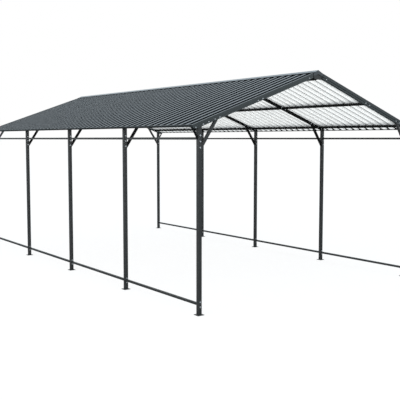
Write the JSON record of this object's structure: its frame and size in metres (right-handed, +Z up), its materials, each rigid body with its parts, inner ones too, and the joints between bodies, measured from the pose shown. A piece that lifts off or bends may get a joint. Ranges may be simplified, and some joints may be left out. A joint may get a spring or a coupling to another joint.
{
  "type": "carport",
  "caption": "Free-standing gable carport of square steel tube portal frames with side rails and a ribbed sheet roof, open on all sides.",
  "frame": {"origin": "at ground level, at the centre of the plan", "axes": "+Z is up, +Y runs along the length to the rear gable, and +X points to the right-hand side as seen from the front gable"},
  "size_m": [3.5918, 6.08, 2.6116],
  "materials": {
    "frame": "satin charcoal powder coat",
    "flashing": "satin charcoal coil coat",
    "roof_sheet": "satin dark blue-grey coil coat, white underneath"
  },
  "bodies": {
    "root": {"apex_connectors": "frame", "front_gable_trims": "flashing", "left_eave_struts": "frame", "left_eave_trim": "flashing", "left_knee_braces": "frame", "left_post_1": "frame", "left_post_2": "frame", "left_post_3": "frame", "left_post_4": "frame", "left_post_5": "frame", "left_purlins": "frame", "left_roof_sheet_1": "roof_sheet", "left_roof_sheet_2": "roof_sheet", "left_roof_sheet_3": "roof_sheet", "left_roof_sheet_4": "roof_sheet", "left_roof_sheet_5": "roof_sheet", "left_roof_sheet_6": "roof_sheet", "left_roof_sheet_7": "roof_sheet", "left_side_rails": "frame", "rafter_pair_1": "frame", "rafter_pair_2": "frame", "rafter_pair_3": "frame", "rafter_pair_4": "frame", "rafter_pair_5": "frame", "rear_gable_trims": "flashing", "ridge_beams": "frame", "ridge_cap": "flashing", "right_eave_struts": "frame", "right_eave_trim": "flashing", "right_knee_braces": "frame", "right_post_1": "frame", "right_post_2": "frame", "right_post_3": "frame", "right_post_4": "frame", "right_post_5": "frame", "right_purlins": "frame", "right_roof_sheet_1": "roof_sheet", "right_roof_sheet_2": "roof_sheet", "right_roof_sheet_3": "roof_sheet", "right_roof_sheet_4": "roof_sheet", "right_roof_sheet_5": "roof_sheet", "right_roof_sheet_6": "roof_sheet", "right_roof_sheet_7": "roof_sheet", "right_side_rails": "frame"}
  },
  "joints": []
}
